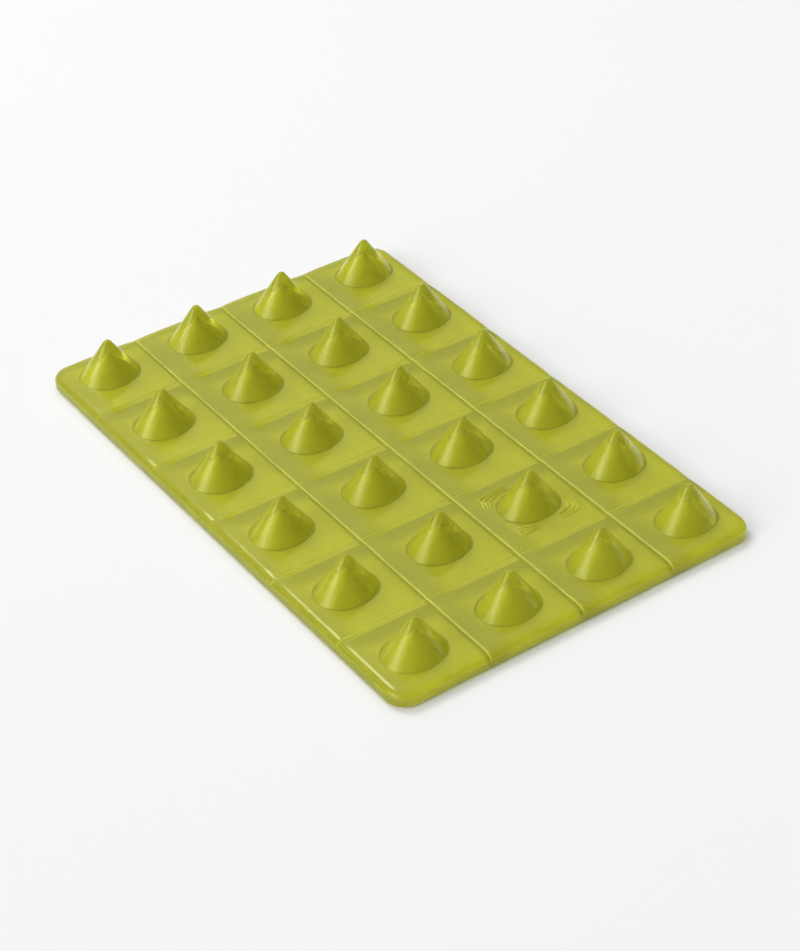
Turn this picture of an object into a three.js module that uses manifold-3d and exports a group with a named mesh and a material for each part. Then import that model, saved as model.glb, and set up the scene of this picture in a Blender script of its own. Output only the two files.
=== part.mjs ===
// A snowboard stomp pad: a grooved, moulded mat carrying a grid of hollow conical studs,
// with a double-sided adhesive sheet under it and a peel-off release liner under that.
//
// Units are millimetres. +X runs across the pad, +Y along it and +Z up. The origin is at
// the centre of the liner's underside, which is the face that the pad rests on.

import * as THREE from 'three';
import { mergeVertices } from 'three/addons/utils/BufferGeometryUtils.js';
import Module from 'manifold-3d';

// Driving dimensions: the grid
const ROWS = 6; // along Y; row 1 is at the -Y end
const COLUMNS = 4; // across X; column 1 is at the -X side
const PITCH = 21.5; // from one stud's centre to the next, both ways
const SIDE_MARGIN = 9.9; // from an outer stud's centre to the mat's long side
const END_MARGIN = 8.9; // from an outer stud's centre to the mat's short end
const CORNER_RADIUS = 4.2; // the mat's four corners, seen from above

// Driving dimensions: the layers, from the bottom up
const LINER_THICKNESS = 0.2;
const ADHESIVE_THICKNESS = 0.3;
const WEB_THICKNESS = 2.2; // the mat's thickness under its grooves
const TILE_THICKNESS = 0.9; // how far the tiles stand above the groove floors
const STUD_HEIGHT = 8.45; // from the tiles' top to a stud's tip

// Driving dimensions: the tiles
const GROOVE_FLOOR = 0.3; // width of a groove at its floor
const TILE_BEVEL = 0.35; // chamfer round each tile's top
const TILE_CORNER = 0.9; // radius of the tile corners that meet at a crossing

// Driving dimensions: the rolled edge round the mat's top
const ROLL_WIDTH = 1.8;
const ROLL_FALL = 1.4;
const ROLL_STEPS = 4;

// Driving dimensions: the studs
const FLANK_SLOPE = 0.63; // radius lost per millimetre of height
const TIP_RADIUS = 0.9;
const OVAL_X = 1.12; // a stud is stretched across the pad by this much
const OVAL_Y = 0.88; // and narrowed along it by this much
const CAVITY_DEPTH = 8.6; // from the mat's underside to the top of a stud's hollow
const CAVITY_SLOPE = 0.58;
const CAVITY_TIP_RADIUS = 0.25; // the hollow's small flat top

// Driving dimensions: how far the sheets stay inside the mat's outline
const ADHESIVE_INSET = 0.8;
const LINER_INSET = 0.5;

// Smoothness
const STUD_SIDES = 20;
const TIP_STEPS = 3;
const LARGE_CORNER_STEPS = 8;
const SMALL_CORNER_STEPS = 2;

// Levels and sizes worked out from them
const LINER_TOP = LINER_THICKNESS;
const MAT_BOTTOM = LINER_TOP + ADHESIVE_THICKNESS;
const WEB_TOP = MAT_BOTTOM + WEB_THICKNESS;
const TILE_TOP = WEB_TOP + TILE_THICKNESS;
const TIP_LEVEL = TILE_TOP + STUD_HEIGHT;
const CAVITY_TOP = MAT_BOTTOM + CAVITY_DEPTH;
const HALF_WIDTH = ((COLUMNS - 1) * PITCH) / 2 + SIDE_MARGIN;
const HALF_LENGTH = ((ROWS - 1) * PITCH) / 2 + END_MARGIN;

const wasm = await Module();
wasm.setup();

// Materials

function finish(color, roughness) {
  return new THREE.MeshStandardMaterial({ color, roughness, metalness: 0 });
}

const padRubber = finish(0xafb432, 0.3);
const adhesiveFilm = finish(0xe6e7dc, 0.25);
const linerPaper = finish(0xf3f3ef, 0.6);

// Solids

/** Turns a closed three.js geometry into a manifold-3d solid. */
function toSolid(geometry) {
  const bare = geometry.clone();
  bare.deleteAttribute('normal');
  bare.deleteAttribute('uv');
  const merged = mergeVertices(bare, 1e-4);
  return new wasm.Manifold(new wasm.Mesh({
    numProp: 3,
    vertProperties: merged.attributes.position.array,
    triVerts: Uint32Array.from(merged.index.array),
  }));
}

/** Turns a manifold-3d solid back into a three.js geometry. */
function toGeometry(solid) {
  const mesh = solid.getMesh();
  const geometry = new THREE.BufferGeometry();
  const position = new THREE.BufferAttribute(Float32Array.from(mesh.vertProperties), 3);
  geometry.setAttribute('position', position);
  geometry.setIndex(new THREE.BufferAttribute(Uint32Array.from(mesh.triVerts), 1));
  geometry.computeVertexNormals();
  return geometry;
}

/** The outline of a rectangle whose corners are rounded, each with a radius of its own. */
function roundedOutline({ left, right, bottom, top, radii }) {
  const [bottomRight, topRight, topLeft, bottomLeft] = radii;
  const corners = [
    { x: right - bottomRight, y: bottom + bottomRight, radius: bottomRight, turn: -0.5 },
    { x: right - topRight, y: top - topRight, radius: topRight, turn: 0 },
    { x: left + topLeft, y: top - topLeft, radius: topLeft, turn: 0.5 },
    { x: left + bottomLeft, y: bottom + bottomLeft, radius: bottomLeft, turn: 1 },
  ];
  const points = corners.flatMap(({ x, y, radius, turn }) => {
    const steps = radius > TILE_CORNER ? LARGE_CORNER_STEPS : SMALL_CORNER_STEPS;
    return Array.from({ length: steps + 1 }, (_, step) => {
      const angle = Math.PI * (turn + (0.5 * step) / steps);
      return new THREE.Vector2(x + radius * Math.cos(angle), y + radius * Math.sin(angle));
    });
  });
  return new THREE.Shape(points);
}

/** The mat's outline, drawn in by an even distance. */
function matOutline(inset) {
  const radius = CORNER_RADIUS - inset;
  return roundedOutline({
    left: -HALF_WIDTH + inset,
    right: HALF_WIDTH - inset,
    bottom: -HALF_LENGTH + inset,
    top: HALF_LENGTH - inset,
    radii: [radius, radius, radius, radius],
  });
}

/** A flat plate between two levels. */
function plate(outline, bottomLevel, topLevel) {
  const depth = topLevel - bottomLevel;
  const geometry = new THREE.ExtrudeGeometry(outline, { depth, bevelEnabled: false });
  return geometry.translate(0, 0, bottomLevel);
}

/** An oval solid about +Z from [radius, level] pairs that start and end on the axis. */
function ovalSolid(profile) {
  const points = profile.map(([radius, level]) => new THREE.Vector2(radius, level));
  const round = new THREE.LatheGeometry(points, STUD_SIDES).rotateX(Math.PI / 2);
  return round.scale(OVAL_X, OVAL_Y, 1);
}

// The grid

function columnX(column) {
  return (column - (COLUMNS + 1) / 2) * PITCH;
}

function rowY(row) {
  return (row - (ROWS + 1) / 2) * PITCH;
}

/** Calls a function with the row and column of every stud, and lists what it returns. */
function forEachCell(make) {
  const cells = [];
  for (let row = 1; row <= ROWS; row += 1) {
    for (let column = 1; column <= COLUMNS; column += 1) {
      cells.push(make(row, column));
    }
  }
  return cells;
}

// The mat

/** One raised tile. It starts inside the web, so that the two join into one solid. */
function tile(row, column) {
  const reach = (PITCH - GROOVE_FLOOR) / 2;
  const first = { x: column === 1, y: row === 1 };
  const last = { x: column === COLUMNS, y: row === ROWS };
  const radiusAt = (onSide, onEnd) => (onSide && onEnd ? CORNER_RADIUS : TILE_CORNER);
  const outline = roundedOutline({
    left: columnX(column) - (first.x ? SIDE_MARGIN : reach),
    right: columnX(column) + (last.x ? SIDE_MARGIN : reach),
    bottom: rowY(row) - (first.y ? END_MARGIN : reach),
    top: rowY(row) + (last.y ? END_MARGIN : reach),
    radii: [
      radiusAt(last.x, first.y),
      radiusAt(last.x, last.y),
      radiusAt(first.x, last.y),
      radiusAt(first.x, first.y),
    ],
  });
  const rootLevel = WEB_TOP - TILE_BEVEL;
  const geometry = new THREE.ExtrudeGeometry(outline, {
    depth: TILE_TOP - rootLevel - TILE_BEVEL,
    bevelThickness: TILE_BEVEL,
    bevelSize: TILE_BEVEL,
    bevelOffset: -TILE_BEVEL,
    bevelSegments: 1,
  });
  return geometry.translate(0, 0, rootLevel);
}

/** The part of a stud's hollow that passes through the mat. */
function cavityMouth(row, column) {
  const overrun = 1;
  const bottomLevel = MAT_BOTTOM - overrun;
  const topLevel = TILE_TOP + overrun;
  const geometry = ovalSolid([
    [0, bottomLevel],
    [cavityRadius(bottomLevel), bottomLevel],
    [cavityRadius(topLevel), topLevel],
    [0, topLevel],
  ]);
  return geometry.translate(columnX(column), rowY(row), 0);
}

/** The space inside the mat's rolled edge. It reaches past the mat's underside. */
function rolledEnvelope() {
  const overrun = 1;
  const depth = TILE_TOP - MAT_BOTTOM + 2 * overrun;
  const geometry = new THREE.ExtrudeGeometry(matOutline(0), {
    depth: depth - ROLL_FALL,
    bevelThickness: ROLL_FALL,
    bevelSize: ROLL_WIDTH,
    bevelOffset: -ROLL_WIDTH,
    bevelSegments: ROLL_STEPS,
  });
  return geometry.translate(0, 0, TILE_TOP - depth);
}

function matGeometry() {
  let mat = toSolid(plate(matOutline(0), MAT_BOTTOM, WEB_TOP));
  for (const block of forEachCell(tile)) {
    mat = mat.add(toSolid(block));
  }
  mat = mat.intersect(toSolid(rolledEnvelope()));
  for (const mouth of forEachCell(cavityMouth)) {
    mat = mat.subtract(toSolid(mouth));
  }
  return toGeometry(mat);
}

// The studs

function cavityRadius(level) {
  return CAVITY_TIP_RADIUS + CAVITY_SLOPE * (CAVITY_TOP - level);
}

/** A hollow cone with a rounded tip, standing on the tiles' top. */
function studGeometry() {
  const flankAngle = Math.atan(FLANK_SLOPE);
  const tipCentre = TIP_LEVEL - TIP_RADIUS;
  const tangent = {
    radius: TIP_RADIUS * Math.cos(flankAngle),
    level: tipCentre + TIP_RADIUS * Math.sin(flankAngle),
  };
  const footRadius = tangent.radius + FLANK_SLOPE * (tangent.level - TILE_TOP);
  const tip = Array.from({ length: TIP_STEPS + 1 }, (_, step) => {
    const angle = flankAngle + ((Math.PI / 2 - flankAngle) * step) / TIP_STEPS;
    const radius = step === TIP_STEPS ? 0 : TIP_RADIUS * Math.cos(angle);
    return [radius, tipCentre + TIP_RADIUS * Math.sin(angle)];
  });
  return ovalSolid([
    [0, CAVITY_TOP],
    [CAVITY_TIP_RADIUS, CAVITY_TOP],
    [cavityRadius(TILE_TOP), TILE_TOP],
    [footRadius, TILE_TOP],
    ...tip,
  ]);
}

// The assembly

function piece(name, geometry, material) {
  const mesh = new THREE.Mesh(geometry, material);
  mesh.name = name;
  return mesh;
}

const linerOutline = matOutline(LINER_INSET);
const adhesiveOutline = matOutline(ADHESIVE_INSET);
const releaseLiner = piece('release_liner', plate(linerOutline, 0, LINER_TOP), linerPaper);
const adhesiveSheet = piece(
  'adhesive_sheet',
  plate(adhesiveOutline, LINER_TOP, MAT_BOTTOM),
  adhesiveFilm,
);
const baseMat = piece('base_mat', matGeometry(), padRubber);

const studs = new THREE.Group();
const studShape = studGeometry();
studs.add(...forEachCell((row, column) => {
  const stud = piece(`stud_r${row}_c${column}`, studShape, padRubber);
  stud.position.set(columnX(column), rowY(row), 0);
  return stud;
}));

const stompPad = new THREE.Group();
stompPad.add(releaseLiner, adhesiveSheet, baseMat, studs);

export default stompPad;
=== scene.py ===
"""Snowboard stomp pad: the visual model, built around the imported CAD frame.

The moulding is one closed mesh, made in millimetres tile by tile: a grid of lines that
follows the grooves and edges, and rings of points round each stud. Its places come from the
frame. The adhesive sheet and the release liner are made the same way, from one outline.
"""

import math

import bpy
import numpy as np
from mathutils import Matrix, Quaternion, Vector, noise


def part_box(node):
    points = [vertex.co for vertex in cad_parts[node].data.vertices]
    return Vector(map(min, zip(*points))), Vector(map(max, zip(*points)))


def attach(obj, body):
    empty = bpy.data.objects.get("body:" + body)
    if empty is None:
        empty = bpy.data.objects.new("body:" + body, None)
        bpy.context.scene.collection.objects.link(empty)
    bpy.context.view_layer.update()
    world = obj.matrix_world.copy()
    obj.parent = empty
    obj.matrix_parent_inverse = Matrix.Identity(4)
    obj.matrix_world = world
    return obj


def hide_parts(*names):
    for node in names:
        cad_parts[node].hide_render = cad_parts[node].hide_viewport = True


MM = 0.001

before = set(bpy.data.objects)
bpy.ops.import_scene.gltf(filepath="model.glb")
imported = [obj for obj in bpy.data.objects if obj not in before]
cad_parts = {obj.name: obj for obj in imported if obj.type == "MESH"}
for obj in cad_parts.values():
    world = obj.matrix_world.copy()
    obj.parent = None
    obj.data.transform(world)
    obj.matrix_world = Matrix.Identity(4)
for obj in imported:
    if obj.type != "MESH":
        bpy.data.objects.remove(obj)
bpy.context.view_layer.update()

# ---------------------------------------------------------------------------
# Dimensions, in millimetres. Places come from the frame, and shapes are named here.
# ---------------------------------------------------------------------------

ROWS = 6
COLUMNS = 4
CORNER_RADIUS = 4.2  # the mat's corners, seen from above

# The mat's top rolls off softly all round, and its bottom edge is nearly sharp.
EDGE_WIDTH = 1.8
EDGE_DROP = 1.4
FOOT_RADIUS = 0.2

# The tiles: narrow grooves between them, and a slight fall towards each groove.
ROW_GROOVE_SHARE = 0.5  # the depth of the grooves across the pad, beside those along it
GROOVE_DEPTH = 0.38
GROOVE_FLOOR = 0.06  # half the width of a groove's floor
SHOULDER = 0.2  # how far a groove's rounded wall reaches from its floor
PILLOW_DROP = 0.2  # the fall towards a groove
EDGE_SLOPE_DROP = 0.2  # the fall towards the pad's outside
PILLOW_WIDTH = 3.2

# The studs and the hollows in them. Both are a little longer across the pad than along it.
OVAL = (1.12, 0.88)
STUD_SLOPE = 0.63  # radius lost per millimetre of height
STUD_TIP_RADIUS = 0.9
STUD_FILLET = 0.12  # rounding where a stud meets its tile
CAVITY_TOP = 9.1
CAVITY_SLOPE = 0.58
CAVITY_TIP_RADIUS = 0.22
CAVITY_LIP = 1.6  # rounding of the hollow's mouth

# The nested raised ribs round the stud of one tile.
MARKED_CELL = (2, 3)
MARK_CORNERS = (-45, -135, 122)  # degrees round the stud
MARK_SPAN = 30  # degrees to either side
MARK_END = 6  # degrees in which a rib's end rises
MARK_SHARES = (0.32, 0.5, 0.68)  # places between the stud's foot and the tile's edge
MARK_HALF_WIDTH = 0.05
MARK_FLAT = 1.4  # over 1 by the share of a rib's half width that is flat on top
MARK_HEIGHT = 0.34

# The waviness of a soft moulding: two noises, each with its length, its height and its seed.
WAVES = ((13.0, 0.07, 3.7), (4.5, 0.032, 9.1))

# Where the rubber is less clear, and where it is painted darker as shade, as 0-1 shares.
# The groove floors are frosted, which also paints them paler: part of the painted highlight
# along the grooves.
GROOVE_HIGHLIGHT_HAZE = 1.0
MARK_HAZE = 0.35
# Painted shade: the mat's outer wall is darkened.
WALL_SHADE = 0.45
# Painted shade on the hollows inside the studs, darkest towards their tips.
CAVITY_SHADE = 0.38
CAVITY_TIP_REACH = 1.8  # the stretch below a hollow's tip that is painted darker as shade
SIDE_SHADE = 0.9  # on the underside, along each tile's left and far sides: the painted shadow of the grooves
SIDE_REACH = (8.5, 5.6)  # how far in from the left and the far side it ends
SIDE_FADE = (6.0, 4.0)
SPOT_INSET = 1.0  # the painted shadow spot in each tile's left far corner
SPOT_RADIUS = 1.92
SPOT_FADE = 1.2

# How finely the mesh is drawn.
FRAME_WIDTH = 2.5  # the band of straight grid lines inside each tile's edge
PILLOW_LINES = (0.8, 1.3, 1.9)
SIDE_STEPS = 16  # points along each side of a tile, between those bands
SHOULDER_STEPS = 5
EDGE_STEPS = 8
FILLET_STEPS = 6
FLANK_STEPS = 9
TIP_STEPS = 6
EDGE_MARGIN = 0.3  # from the rolled edge to the next grid line
FOOT_SHARES = (0.035, 0.08)  # two rings close to a stud's foot, on the way to the band
FILL_STEPS = 4  # rings between a round foot and the square band
MARKED_FILL_STEPS = 36
NEAREST_FILL = 0.1  # the share of the way below which those rings are left out
WALL_STEPS = 3
MERGE = 1e-4  # points closer than this are one point
SLACK = 0.01
SKIN_LEVEL = 1.5  # above the mat's underside, and below all of its top

AIR_GAP = 0.03  # keeps a surface from lying exactly on its neighbour


def box_mm(node):
    low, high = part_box(node)
    return np.array(low) / MM, np.array(high) / MM


MAT_LOW, MAT_HIGH = box_mm("base_mat")
STUD_BOXES = {
    (row, column): box_mm(f"stud_r{row}_c{column}")
    for row in range(1, ROWS + 1)
    for column in range(1, COLUMNS + 1)
}
STUD_AT = {cell: (low[:2] + high[:2]) / 2 for cell, (low, high) in STUD_BOXES.items()}
PITCH = STUD_AT[1, 2][0] - STUD_AT[1, 1][0]
TIP_LEVEL = STUD_BOXES[1, 1][1][2]
TILE_LEVEL = MAT_HIGH[2]
MAT_LEVEL = MAT_LOW[2]
HALF_WIDTH = MAT_HIGH[0]
HALF_LENGTH = MAT_HIGH[1]
GROOVES_X = [STUD_AT[1, c][0] + PITCH / 2 for c in range(1, COLUMNS)]
GROOVES_Y = [STUD_AT[r, 1][1] + PITCH / 2 for r in range(1, ROWS)]


# ---------------------------------------------------------------------------
# Mesh helpers
# ---------------------------------------------------------------------------


class Shell:
    """Collects points and faces, and joins the points that fall together.

    frosted says how cloudy each point is, from 0 on the clear skin to 1 on the underside.
    """

    def __init__(self):
        self.points = []
        self.frosted = []
        self.painted_crease_spans = []  # the first and last point of each stud's foot line, painted dark as shade
        self.index = {}
        self.faces = []

    def point(self, x, y, z, frosted=0.0):
        key = (round(x / MERGE), round(y / MERGE), round(z / MERGE))
        if key not in self.index:
            self.index[key] = len(self.points)
            self.points.append((x * MM, y * MM, z * MM))
            self.frosted.append(frosted)
        return self.index[key]

    def face(self, corners):
        kept = [v for n, v in enumerate(corners) if v != corners[n - 1]]
        if len(set(kept)) == len(kept) >= 3:
            self.faces.append(kept)

    def band(self, ring_a, ring_b, closed=True):
        """Quads from ring_a to ring_b, facing the way that rings turning left face up."""
        count = len(ring_a)
        for n in range(count if closed else count - 1):
            m = (n + 1) % count
            self.face([ring_a[n], ring_a[m], ring_b[m], ring_b[n]])

    def build(self, name, **layers):
        """A piece made of the points and faces, with one number a point for each layer."""
        mesh = bpy.data.meshes.new(name)
        mesh.from_pydata(self.points, [], self.faces)
        for layer, values in layers.items():
            mesh.attributes.new(layer, "FLOAT", "POINT").data.foreach_set("value", values)
        mesh.validate()
        mesh.shade_smooth()
        piece = bpy.data.objects.new(name, mesh)
        bpy.context.scene.collection.objects.link(piece)
        return piece


def arc(reach, steps):
    """Distances in from a rounded edge, from 0 to its reach, even along the curve."""
    return [reach * (1 - math.cos(math.pi / 2 * n / steps)) for n in range(steps + 1)]


def rounding(distance, reach):
    """The share of its depth that a rounded edge falls by, at a distance in from outside."""
    if distance >= reach:
        return 0.0
    return 1 - math.sqrt(max(1 - (1 - distance / reach) ** 2, 0.0))


def ease(share):
    """A smooth step from 0 to 1."""
    share = min(max(share, 0.0), 1.0)
    return share * share * (3 - 2 * share)


def edge_distance(x, y, half_width, half_length, corner):
    """How far a point lies inside a rectangle with rounded corners."""
    over_x = abs(x) - (half_width - corner)
    over_y = abs(y) - (half_length - corner)
    if over_x > 0 and over_y > 0:
        return corner - math.hypot(over_x, over_y)
    return corner - max(over_x, over_y)


def round_corner(x, y, half_width, half_length, corner):
    """Moves a point of the square-cornered grid onto the rounded outline's grid."""
    over_x = abs(x) - (half_width - corner)
    over_y = abs(y) - (half_length - corner)
    if over_x <= 0 or over_y <= 0:
        return x, y
    pull = max(over_x, over_y) / math.hypot(over_x, over_y)
    new_x = half_width - corner + over_x * pull
    new_y = half_length - corner + over_y * pull
    return math.copysign(new_x, x), math.copysign(new_y, y)


# ---------------------------------------------------------------------------
# The moulding
# ---------------------------------------------------------------------------


def groove_drop(distance):
    """1 on a groove's floor and 0 on the tile, with a soft shoulder between them."""
    if distance <= GROOVE_FLOOR:
        return 1.0
    return rounding(distance - GROOVE_FLOOR, SHOULDER)


def groove_share(x, y):
    """1 on the floor of a groove along the pad, less across it, and 0 away from both."""
    across_x = min(abs(x - line) for line in GROOVES_X)
    across_y = min(abs(y - line) for line in GROOVES_Y)
    return max(groove_drop(across_x), ROW_GROOVE_SHARE * groove_drop(across_y))


def side_shade(x, y):
    """The painted shadow of the grooves on the underside, along each tile's left and far sides
    and their corner.
    """
    from_left = (x - GROOVES_X[0]) % PITCH
    from_far = (GROOVES_Y[0] - y) % PITCH
    left = ease((SIDE_REACH[0] - from_left) / SIDE_FADE[0])
    far = ease((SIDE_REACH[1] - from_far) / SIDE_FADE[1])
    from_spot = math.hypot(from_left - SPOT_INSET, from_far - SPOT_INSET)
    spot = ease((SPOT_RADIUS - from_spot) / SPOT_FADE)
    return max(SIDE_SHADE * max(left, far), spot)


def unevenness(x, y):
    """The slight waviness of a soft moulding, in millimetres."""
    height = 0.0
    for length, strength, seed in WAVES:
        height += strength * noise.noise(Vector((x / length, y / length, seed)))
    return height


def top_level(x, y):
    """The height of the mat's top, studs left out."""
    to_line_x = min(abs(x - line) for line in GROOVES_X)
    to_line_y = min(abs(y - line) for line in GROOVES_Y)
    row_drop = ROW_GROOVE_SHARE * groove_drop(to_line_y)
    flat_share = (1 - groove_drop(to_line_x)) * (1 - row_drop)
    pillow_share = ease(to_line_x / PILLOW_WIDTH) * ease(to_line_y / PILLOW_WIDTH)
    inside = edge_distance(x, y, HALF_WIDTH, HALF_LENGTH, CORNER_RADIUS)
    fall = GROOVE_DEPTH * (1 - flat_share) + PILLOW_DROP * (1 - pillow_share)
    fall += EDGE_DROP * rounding(inside, EDGE_WIDTH)
    fall += EDGE_SLOPE_DROP * (1 - ease(inside / PILLOW_WIDTH))
    return max(TILE_LEVEL - fall + unevenness(x, y), MAT_LEVEL + 2 * FOOT_RADIUS)


def no_lift(x, y):
    """The underside's cones stand on a flat."""
    return 0.0


def bottom_level(x, y):
    """The height of the mat's underside, hollows left out."""
    inside = edge_distance(x, y, HALF_WIDTH, HALF_LENGTH, CORNER_RADIUS)
    return MAT_LEVEL + FOOT_RADIUS * rounding(inside, FOOT_RADIUS)


def tile_lines(centre, low_edge, high_edge):
    """The grid lines of a tile along one axis, and how many lie in the band at each end."""
    groove_band = [0.0] + [GROOVE_FLOOR + d for d in arc(SHOULDER, SHOULDER_STEPS)]
    groove_band += PILLOW_LINES
    edge_band = arc(EDGE_WIDTH, EDGE_STEPS) + [EDGE_WIDTH + EDGE_MARGIN]
    low_band = edge_band if centre - low_edge < PITCH / 2 - SLACK else groove_band
    high_band = edge_band if high_edge - centre < PITCH / 2 - SLACK else groove_band
    start = low_edge + FRAME_WIDTH
    step = (high_edge - FRAME_WIDTH - start) / SIDE_STEPS
    middle = [start + step * n for n in range(SIDE_STEPS + 1)]
    lines = [low_edge + d for d in low_band] + middle + [high_edge - d for d in high_band[::-1]]
    return lines, len(low_band), len(low_band) + SIDE_STEPS


def tile_edges(row, column):
    x, y = STUD_AT[row, column]
    left = -HALF_WIDTH if column == 1 else x - PITCH / 2
    right = HALF_WIDTH if column == COLUMNS else x + PITCH / 2
    front = -HALF_LENGTH if row == 1 else y - PITCH / 2
    back = HALF_LENGTH if row == ROWS else y + PITCH / 2
    return left, right, front, back


def cone_profile(tip_level, tip_radius, slope, foot_level, fillet):
    """A round-tipped cone's outline from its tip to its foot, as (radius, level) pairs."""
    lean = math.atan(slope)
    centre = tip_level - tip_radius
    profile = []
    for n in range(TIP_STEPS + 1):
        angle = math.pi / 2 + (lean - math.pi / 2) * n / TIP_STEPS
        radius = tip_radius * math.cos(angle)
        profile.append((radius, centre + tip_radius * math.sin(angle)))
    top_radius, top = profile[-1]
    foot_radius = top_radius + slope * (top - foot_level)
    # The fillet's circle touches the flank and the flat round the foot.
    turn = math.pi / 2 - lean
    reach = fillet * math.tan(turn / 2)
    end_radius = foot_radius - reach * math.sin(lean)
    end_level = foot_level + reach * math.cos(lean)
    for n in range(1, FLANK_STEPS + 1):
        share = n / FLANK_STEPS
        radius = top_radius + (end_radius - top_radius) * share
        profile.append((radius, top + (end_level - top) * share))
    for n in range(1, FILLET_STEPS + 1):
        angle = lean + turn * n / FILLET_STEPS
        radius = foot_radius + reach - fillet * math.cos(angle)
        profile.append((radius, foot_level + fillet * (1 - math.sin(angle))))
    return profile


def ring_angles():
    """Angles round a stud that match the points round its tile, corner to corner."""
    count = 4 * SIDE_STEPS
    return [math.pi * (-0.75 + 2 * n / count) for n in range(count)]


def mark_level(share, angle):
    """How far the raised ribs stand up, at a share of the way out to the tile's edge."""
    height = 0.0
    for corner in MARK_CORNERS:
        turn = abs((math.degrees(angle) - corner + 180) % 360 - 180)
        along = ease((MARK_SPAN - turn) / MARK_END)
        for place in MARK_SHARES:
            across = ease(MARK_FLAT - abs(share - place) / MARK_HALF_WIDTH)
            height = max(height, MARK_HEIGHT * along * across)
    return height


def fill_shares(marked):
    """The places of the rings between a stud's foot and its tile's band, from the band in."""
    steps = MARKED_FILL_STEPS if marked else FILL_STEPS
    shares = {n / steps for n in range(1, steps) if n / steps > NEAREST_FILL}
    return sorted(shares.union(FOOT_SHARES), reverse=True)


def tile_grid(shell, cell, level, frosted):
    """The straight lines along a tile's edges.

    Returns the grid's points, and the loop of points and places that faces the stud.
    """
    left, right, front, back = tile_edges(*cell)
    xs, x_from, x_to = tile_lines(STUD_AT[cell][0], left, right)
    ys, y_from, y_to = tile_lines(STUD_AT[cell][1], front, back)
    places = {}
    grid = []
    for i, line_x in enumerate(xs):
        grid.append([])
        for j, line_y in enumerate(ys):
            if x_from < i < x_to and y_from < j < y_to:
                grid[i].append(None)  # the rings round the stud take this area
                continue
            x, y = round_corner(line_x, line_y, HALF_WIDTH, HALF_LENGTH, CORNER_RADIUS)
            inside = edge_distance(x, y, HALF_WIDTH, HALF_LENGTH, CORNER_RADIUS)
            places[i, j] = (x, y)
            # Frosting the groove floors also paints them paler, as part of the painted groove
            # highlight.
            haze = max(frosted, GROOVE_HIGHLIGHT_HAZE * groove_share(x, y))
            shade = haze if inside > FOOT_RADIUS else 0.0
            grid[i].append(shell.point(x, y, level(x, y), shade))
    for i in range(len(xs) - 1):
        for j in range(len(ys) - 1):
            if not (x_from <= i < x_to and y_from <= j < y_to):
                shell.face([grid[i][j], grid[i + 1][j], grid[i + 1][j + 1], grid[i][j + 1]])

    loop = [(i, y_from) for i in range(x_from, x_to)]
    loop += [(x_to, j) for j in range(y_from, y_to)]
    loop += [(i, y_to) for i in range(x_to, x_from, -1)]
    loop += [(x_from, j) for j in range(y_to, y_from, -1)]
    return grid, [grid[i][j] for i, j in loop], [places[key] for key in loop]


def on_oval(cell, radius, angle):
    """A place on the oval of that radius round a stud's axis."""
    centre_x, centre_y = STUD_AT[cell]
    x = centre_x + OVAL[0] * radius * math.cos(angle)
    y = centre_y + OVAL[1] * radius * math.sin(angle)
    return x, y


def tile_skin(shell, cell, level, foot_lift, profile, frosted, marked):
    """One tile's skin: straight lines along its edges, and rings round its stud's axis.

    foot_lift is added to the cone's levels, so that the cone follows the mat's waviness.
    The ring nearest a stud's foot and the foot itself are the stud's crease, painted dark as
    shade.
    """
    grid, outer, places = tile_grid(shell, cell, level, frosted)
    angles = ring_angles()
    foot = profile[-1][0]
    for share in fill_shares(marked):
        crease = len(shell.points)
        ring = []
        for place, angle in zip(places, angles):
            x, y = on_oval(cell, foot, angle)
            x += (place[0] - x) * share
            y += (place[1] - y) * share
            lift = mark_level(share, angle) if marked else 0.0
            haze = max(frosted, MARK_HAZE * lift / MARK_HEIGHT)
            ring.append(shell.point(x, y, level(x, y) + lift, haze))
        shell.band(outer, ring)
        outer = ring
    for radius, height in reversed(profile):
        ring = []
        for angle in angles:
            x, y = on_oval(cell, radius, angle)
            ring.append(shell.point(x, y, height + foot_lift(x, y), frosted))
        shell.band(outer, ring)
        outer = ring
    if not frosted:
        shell.painted_crease_spans.append((crease, crease + 2 * len(angles)))
    return grid


def outline_loop(grids):
    """The points round the mat's outside, in order, from each outer tile's grid."""
    loop = []
    for column in range(1, COLUMNS + 1):
        loop += [line[0] for line in grids[1, column][:-1]]
    for row in range(1, ROWS + 1):
        loop += grids[row, COLUMNS][-1][:-1]
    for column in range(COLUMNS, 0, -1):
        loop += [line[-1] for line in grids[ROWS, column][:0:-1]]
    for row in range(ROWS, 0, -1):
        loop += grids[row, 1][0][:0:-1]
    # Neighbouring tiles share the points where they meet.
    return [point for n, point in enumerate(loop) if point != loop[n - 1]]


def make_wall(shell, bottom_loop, top_loop):
    """The mat's outside, between its bottom and the start of its rolled edge."""
    lower = bottom_loop
    for n in range(1, WALL_STEPS + 1):
        upper = top_loop
        if n < WALL_STEPS:
            upper = []
            for bottom, top in zip(bottom_loop, top_loop):
                low, high = shell.points[bottom], shell.points[top]
                between = [(a + (b - a) * n / WALL_STEPS) / MM for a, b in zip(low, high)]
                upper.append(shell.point(*between))
        shell.band(lower, upper)
        lower = upper


def painted_groove_highlight_of(shell):
    """How pale each point is painted, as a highlight along the grooves: 1 on a groove's floor,
    away from the pad's outside.
    """
    painted_highlights = []
    for point in shell.points:
        x, y, z = (value / MM for value in point)
        inside = edge_distance(x, y, HALF_WIDTH, HALF_LENGTH, CORNER_RADIUS)
        on_top = z > MAT_LEVEL + SKIN_LEVEL
        painted_highlights.append(groove_share(x, y) * ease(inside / EDGE_WIDTH) if on_top else 0.0)
    return painted_highlights


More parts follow.
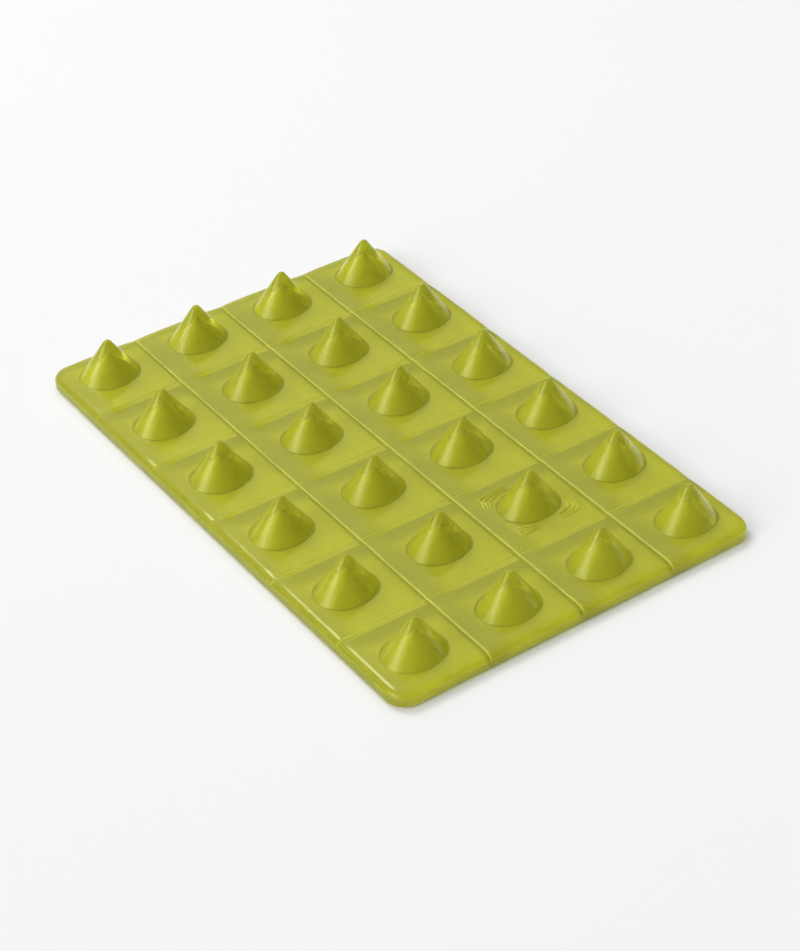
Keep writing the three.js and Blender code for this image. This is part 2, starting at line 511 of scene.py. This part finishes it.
def painted_shade_of(shell):
    """How dark each point is painted as shade, from 0 to 1."""
    depth = []
    for point, frosted in zip(shell.points, shell.frosted):
        x, y, z = (value / MM for value in point)
        inside = edge_distance(x, y, HALF_WIDTH, HALF_LENGTH, CORNER_RADIUS)
        if frosted < 1:
            # Painted shade on the outer wall.
            depth.append(WALL_SHADE if inside < SLACK else 0.0)
        # Painted shade on the hollows, growing darker towards each tip.
        elif z > MAT_LEVEL + 2 * FOOT_RADIUS:
            near_tip = ease((z - CAVITY_TOP + CAVITY_TIP_REACH) / CAVITY_TIP_REACH)
            depth.append(CAVITY_SHADE + (1 - CAVITY_SHADE) * near_tip)
        else:
            # Painted shadow of the grooves on the underside.
            depth.append(side_shade(x, y))
    # Painted shade: each stud's foot crease is made fully dark.
    for first, last in shell.painted_crease_spans:
        depth[first:last] = [1.0] * (last - first)
    return depth


def make_moulding():
    shell = Shell()
    stud = cone_profile(TIP_LEVEL, STUD_TIP_RADIUS, STUD_SLOPE, TILE_LEVEL, STUD_FILLET)
    hollow = cone_profile(CAVITY_TOP, CAVITY_TIP_RADIUS, CAVITY_SLOPE, MAT_LEVEL, CAVITY_LIP)
    tops, bottoms = {}, {}
    for cell in STUD_AT:
        marked = cell == MARKED_CELL
        tops[cell] = tile_skin(shell, cell, top_level, unevenness, stud, 0.0, marked)
    first_bottom_face = len(shell.faces)
    for cell in STUD_AT:
        bottoms[cell] = tile_skin(shell, cell, bottom_level, no_lift, hollow, 1.0, False)
    shell.faces[first_bottom_face:] = [f[::-1] for f in shell.faces[first_bottom_face:]]
    make_wall(shell, outline_loop(bottoms), outline_loop(tops))
    # The point layers carry painted shade, and a painted highlight along the grooves.
    return shell.build(
        "moulded_pad", frosted=shell.frosted, deep=painted_shade_of(shell), worn=painted_groove_highlight_of(shell)
    )


moulding = make_moulding()

# ---------------------------------------------------------------------------
# The sheets under it
# ---------------------------------------------------------------------------

SHEET_CORNER_STEPS = 16
SHEET_ROUND = 0.05
SHEET_SHARP = math.radians(50)  # edges sharper than this are drawn sharp


def sheet_loop(shell, node, inset, level):
    """The outline of a sheet at one level, drawn in by an inset."""
    low, high = box_mm(node)
    half_width = high[0] - inset
    half_length = high[1] - inset
    corner = CORNER_RADIUS - (HALF_WIDTH - half_width)
    loop = []
    for quarter, (side_x, side_y) in enumerate(((1, -1), (1, 1), (-1, 1), (-1, -1))):
        centre_x = side_x * (half_width - corner)
        centre_y = side_y * (half_length - corner)
        for n in range(SHEET_CORNER_STEPS + 1):
            angle = math.pi / 2 * (quarter - 1 + n / SHEET_CORNER_STEPS)
            x = centre_x + corner * math.cos(angle)
            y = centre_y + corner * math.sin(angle)
            loop.append(shell.point(x, y, level))
    return loop


def make_sheet(name, node, bottom, top):
    """A thin flat sheet with rounded corners and slightly eased edges."""
    shell = Shell()
    loops = [
        sheet_loop(shell, node, SHEET_ROUND, bottom),
        sheet_loop(shell, node, 0.0, bottom + SHEET_ROUND),
        sheet_loop(shell, node, 0.0, top - SHEET_ROUND),
        sheet_loop(shell, node, SHEET_ROUND, top),
    ]
    shell.face(loops[0][::-1])
    for lower, upper in zip(loops, loops[1:]):
        shell.band(lower, upper)
    shell.face(loops[-1])
    piece = shell.build(name)
    piece.data.set_sharp_from_angle(angle=SHEET_SHARP)
    return piece


liner_low, liner_high = box_mm("release_liner")
liner = make_sheet("liner_paper_sheet", "release_liner", liner_low[2], liner_high[2])
adhesive = make_sheet(
    "adhesive_film", "adhesive_sheet", liner_high[2] + AIR_GAP / 2, MAT_LEVEL - AIR_GAP
)

# ---------------------------------------------------------------------------
# Materials
# ---------------------------------------------------------------------------

RUBBER_IOR = 1.48
SPECULAR = 0.5
SPECULAR_TINT = (0.9, 0.93, 0.55)
SKIN_ROUGHNESS = 0.15
INSIDE_ROUGHNESS = 0.3
ROUGHNESS_SPREAD = 0.03
SKIN_CLEARNESS = 0.8
INSIDE_CLEARNESS = 0.42
GROOVE_HIGHLIGHT_CLEARNESS = 0.15  # what the grooves keep of their clearness under the painted highlight
SKIN_DARK = (0.84, 0.85, 0.07)
SKIN_LIGHT = (0.9, 0.91, 0.09)
# The colour that painted shade darkens the clear skin towards.
SKIN_PAINTED_SHADE = (0.3, 0.3, 0.02)
INSIDE_DARK = (0.88, 0.89, 0.13)
INSIDE_LIGHT = (0.99, 0.99, 0.22)
# The colour that painted shade darkens the frosted inside towards.
INSIDE_PAINTED_SHADE = (0.5, 0.5, 0.11)
# The pale colour of the painted highlight along the grooves.
GROOVE_HIGHLIGHT_COLOUR = (1.0, 1.0, 0.36)
TINT = (0.86, 0.87, 0.35)
TINT_DENSITY = 45.0  # per metre

ADHESIVE_DARK = (0.84, 0.84, 0.78)
ADHESIVE_LIGHT = (0.92, 0.92, 0.87)
PAPER_DARK = (0.82, 0.82, 0.78)
PAPER_LIGHT = (0.93, 0.93, 0.91)
SHEET_ROUGHNESS = {"adhesive": (0.3, 0.5), "paper": (0.35, 0.5)}

# Each noise's scale, where one unit is a metre, and its detail.
CLOUD = (100.0, 2.0)
GRAIN = (700.0, 4.0)
RIPPLE = (220.0, 3.0)
MOTTLE = (160.0, 5.0)
PAPER_FIBRES = (2600.0, 6.0)
PAPER_SHEEN = (60.0, 2.0)
FLOOR_PATCHES = (8.0, 2.0)
SPECK_SCALE = 900.0
FIBRE_STRETCH = (1.0, 0.2, 1.0)

# The height of each surface's relief, in metres.
RIPPLE_HEIGHT = 0.0001
SPECK_HEIGHT = 0.00003
FIBRE_HEIGHT = 0.00004


def new_material(name):
    material = bpy.data.materials.new(name)
    material.use_nodes = True
    tree = material.node_tree
    return material, tree, tree.nodes["Principled BSDF"]


def add(tree, kind, **values):
    """A node, with each value set on its input of that name or else on the node itself."""
    node = tree.nodes.new(kind)
    for key, value in values.items():
        if key in node.inputs:
            node.inputs[key].default_value = value
        else:
            setattr(node, key, value)
    return node


def attribute(tree, name):
    return add(tree, "ShaderNodeAttribute", attribute_name=name).outputs["Fac"]


def noise_of(tree, scale, detail):
    """A noise texture over the object, one unit of scale to a metre."""
    place = add(tree, "ShaderNodeTexCoord")
    texture = add(tree, "ShaderNodeTexNoise", Scale=scale, Detail=detail)
    tree.links.new(place.outputs["Object"], texture.inputs["Vector"])
    return texture.outputs["Fac"]


def ranged(tree, value, low, high):
    """A 0-1 value spread over a range."""
    node = add(tree, "ShaderNodeMapRange")
    node.inputs["To Min"].default_value = low
    node.inputs["To Max"].default_value = high
    tree.links.new(value, node.inputs["Value"])
    return node.outputs["Result"]


def joined(tree, operation, first, second):
    """Two values put together by an arithmetic operation. Each is a socket or a number."""
    node = add(tree, "ShaderNodeMath", operation=operation)
    for socket, value in zip(node.inputs, (first, second)):
        if isinstance(value, float):
            socket.default_value = value
        else:
            tree.links.new(value, socket)
    return node.outputs["Value"]


def mixed(tree, share, first, second):
    """A colour between two, by a 0-1 share. Each is a socket or a colour."""
    node = add(tree, "ShaderNodeMix", data_type="RGBA")
    tree.links.new(share, node.inputs["Factor"])
    for key, colour in (("A", first), ("B", second)):
        if isinstance(colour, tuple):
            node.inputs[key].default_value = (*colour, 1)
        else:
            tree.links.new(colour, node.inputs[key])
    return node.outputs["Result"]


def bumped(tree, shader, height, distance):
    node = add(tree, "ShaderNodeBump", Strength=1.0, Distance=distance)
    tree.links.new(height, node.inputs["Height"])
    tree.links.new(node.outputs["Normal"], shader.inputs["Normal"])


def make_rubber():
    """Clear rubber, tinted through: satin above, and lightly frosted underneath."""
    material, tree, shader = new_material("clear_lime_rubber")
    shader.inputs["IOR"].default_value = RUBBER_IOR
    shader.inputs["Specular IOR Level"].default_value = SPECULAR
    shader.inputs["Specular Tint"].default_value = (*SPECULAR_TINT, 1)
    frosted = attribute(tree, "frosted")
    deep = attribute(tree, "deep")
    worn = attribute(tree, "worn")

    cloud = noise_of(tree, *CLOUD)
    # Painted shade: the skin's and the inside's colours are darkened point by point.
    skin = mixed(tree, deep, mixed(tree, cloud, SKIN_DARK, SKIN_LIGHT), SKIN_PAINTED_SHADE)
    inside = mixed(tree, deep, mixed(tree, cloud, INSIDE_DARK, INSIDE_LIGHT), INSIDE_PAINTED_SHADE)
    # Painted highlight: the groove floors are made paler.
    colour = mixed(tree, worn, mixed(tree, frosted, skin, inside), GROOVE_HIGHLIGHT_COLOUR)
    tree.links.new(colour, shader.inputs["Base Color"])

    clearness = ranged(tree, frosted, SKIN_CLEARNESS, INSIDE_CLEARNESS)
    # The painted groove highlight also makes the grooves less clear.
    kept = ranged(tree, worn, 1.0, GROOVE_HIGHLIGHT_CLEARNESS)
    clearness = joined(tree, "MULTIPLY", clearness, kept)
    tree.links.new(clearness, shader.inputs["Transmission Weight"])

    base = ranged(tree, frosted, SKIN_ROUGHNESS, INSIDE_ROUGHNESS)
    uneven = ranged(tree, noise_of(tree, *GRAIN), -ROUGHNESS_SPREAD, ROUGHNESS_SPREAD)
    tree.links.new(joined(tree, "ADD", base, uneven), shader.inputs["Roughness"])
    bumped(tree, shader, noise_of(tree, *RIPPLE), RIPPLE_HEIGHT)

    absorb = add(tree, "ShaderNodeVolumeAbsorption", Density=TINT_DENSITY)
    absorb.inputs["Color"].default_value = (*TINT, 1)
    out = tree.nodes["Material Output"]
    tree.links.new(absorb.outputs["Volume"], out.inputs["Volume"])
    return material


def make_adhesive():
    """A milky film with slight mottling and small specks of trapped air."""
    material, tree, shader = new_material("adhesive_film")
    mottle = noise_of(tree, *MOTTLE)
    tint = mixed(tree, mottle, ADHESIVE_DARK, ADHESIVE_LIGHT)
    tree.links.new(tint, shader.inputs["Base Color"])
    roughness = ranged(tree, mottle, *SHEET_ROUGHNESS["adhesive"])
    tree.links.new(roughness, shader.inputs["Roughness"])
    place = add(tree, "ShaderNodeTexCoord")
    specks = add(tree, "ShaderNodeTexVoronoi", Scale=SPECK_SCALE)
    tree.links.new(place.outputs["Object"], specks.inputs["Vector"])
    bumped(tree, shader, specks.outputs["Distance"], SPECK_HEIGHT)
    return material


def make_paper():
    """Coated release paper: white, with faint fibres."""
    material, tree, shader = new_material("release_paper")
    place = add(tree, "ShaderNodeTexCoord")
    stretch = add(tree, "ShaderNodeMapping")
    stretch.inputs["Scale"].default_value = FIBRE_STRETCH
    scale, detail = PAPER_FIBRES
    fibres = add(tree, "ShaderNodeTexNoise", Scale=scale, Detail=detail)
    tree.links.new(place.outputs["Object"], stretch.inputs["Vector"])
    tree.links.new(stretch.outputs["Vector"], fibres.inputs["Vector"])
    tint = mixed(tree, fibres.outputs["Fac"], PAPER_DARK, PAPER_LIGHT)
    tree.links.new(tint, shader.inputs["Base Color"])
    roughness = ranged(tree, noise_of(tree, *PAPER_SHEEN), *SHEET_ROUGHNESS["paper"])
    tree.links.new(roughness, shader.inputs["Roughness"])
    bumped(tree, shader, fibres.outputs["Fac"], FIBRE_HEIGHT)
    return material


moulding.data.materials.append(make_rubber())
adhesive.data.materials.append(make_adhesive())
liner.data.materials.append(make_paper())

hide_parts("base_mat", *[f"stud_r{row}_c{column}" for row, column in STUD_AT])
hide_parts("adhesive_sheet")
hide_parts("release_liner")
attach(moulding, "pad")
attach(adhesive, "pad")
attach(liner, "liner")

# ---------------------------------------------------------------------------
# Stage, light and camera
# ---------------------------------------------------------------------------

AIM = Vector((-1.3, -6.3, 0.0)) * MM
CAMERA_AZIMUTH = math.radians(-35.38)
CAMERA_ELEVATION = math.radians(37.68)
CAMERA_DISTANCE = 0.4929
CAMERA_ROLL = math.radians(-0.63)
LENS = 93.9
NEAR_CLIP = 0.01

FLOOR_DARK = (0.868, 0.868, 0.876)
FLOOR_LIGHT = (0.878, 0.878, 0.886)
FLOOR_HALF_SIZE = 3.0

# Azimuth and elevation in degrees, how tightly the patch is gathered, and its strength.
SKY_LOBES = (
    (0, 90, 0.01, 0.14),
    (0, 90, 4.0, 0.79),
    (170, 48, 8.0, 1.2),
    (-88, 28, 14.0, 5.2),
)

# The lamp's azimuth and elevation in degrees, distance and size in metres, and power.
KEY = (-165, 58, 0.9, 0.3, 1.75)


def direction(azimuth, elevation):
    """A unit vector towards a place seen at that azimuth and elevation; 0 is -Y."""
    return Vector((
        math.sin(azimuth) * math.cos(elevation),
        -math.cos(azimuth) * math.cos(elevation),
        math.sin(elevation),
    ))


def make_camera():
    data = bpy.data.cameras.new("camera")
    data.lens = LENS
    data.clip_start = NEAR_CLIP
    camera = bpy.data.objects.new("camera", data)
    bpy.context.scene.collection.objects.link(camera)
    towards = direction(CAMERA_AZIMUTH, CAMERA_ELEVATION)
    camera.location = AIM + towards * CAMERA_DISTANCE
    camera.rotation_mode = "QUATERNION"
    level = (-towards).to_track_quat("-Z", "Y")
    camera.rotation_quaternion = level @ Quaternion((0, 0, 1), CAMERA_ROLL)
    bpy.context.scene.camera = camera


def make_floor():
    size = FLOOR_HALF_SIZE
    mesh = bpy.data.meshes.new("floor")
    corners = [(-size, -size, 0), (size, -size, 0), (size, size, 0), (-size, size, 0)]
    mesh.from_pydata(corners, [], [(0, 1, 2, 3)])
    floor = bpy.data.objects.new("floor", mesh)
    bpy.context.scene.collection.objects.link(floor)
    material, tree, shader = new_material("floor")
    tint = mixed(tree, noise_of(tree, *FLOOR_PATCHES), FLOOR_DARK, FLOOR_LIGHT)
    tree.links.new(tint, shader.inputs["Base Color"])
    shader.inputs["Roughness"].default_value = 1.0
    shader.inputs["Specular IOR Level"].default_value = 0.0
    mesh.materials.append(material)


def lobe(tree, place, azimuth, elevation, power, strength):
    """A soft patch of light in the sky, brightest towards one direction."""
    dot = add(tree, "ShaderNodeVectorMath", operation="DOT_PRODUCT")
    tree.links.new(place, dot.inputs[0])
    dot.inputs[1].default_value = direction(math.radians(azimuth), math.radians(elevation))
    facing = joined(tree, "MAXIMUM", dot.outputs["Value"], 0.0)
    return joined(tree, "MULTIPLY", joined(tree, "POWER", facing, power), strength)


def make_world():
    world = bpy.data.worlds.new("studio")
    bpy.context.scene.world = world
    world.use_nodes = True
    tree = world.node_tree
    place = add(tree, "ShaderNodeTexCoord").outputs["Generated"]
    total = 0.0
    for azimuth, elevation, power, strength in SKY_LOBES:
        part = lobe(tree, place, azimuth, elevation, power, strength)
        total = joined(tree, "ADD", total, part)
    back = tree.nodes["Background"]
    back.inputs["Color"].default_value = (1, 1, 1, 1)
    tree.links.new(total, back.inputs["Strength"])


def make_light(name, azimuth, elevation, distance, size, power):
    data = bpy.data.lights.new(name, "AREA")
    data.shape = "DISK"
    data.size = size
    data.energy = power
    light = bpy.data.objects.new(name, data)
    bpy.context.scene.collection.objects.link(light)
    towards = direction(math.radians(azimuth), math.radians(elevation))
    light.location = towards * distance
    light.rotation_mode = "QUATERNION"
    light.rotation_quaternion = (-towards).to_track_quat("-Z", "Y")


make_camera()
make_floor()
make_world()
make_light("key", *KEY)

scene = bpy.context.scene
scene.view_settings.view_transform = "Standard"
scene.cycles.use_denoising = True
scene.cycles.max_bounces = 16
scene.cycles.transmission_bounces = 16
scene.cycles.glossy_bounces = 8
scene.cycles.diffuse_bounces = 4
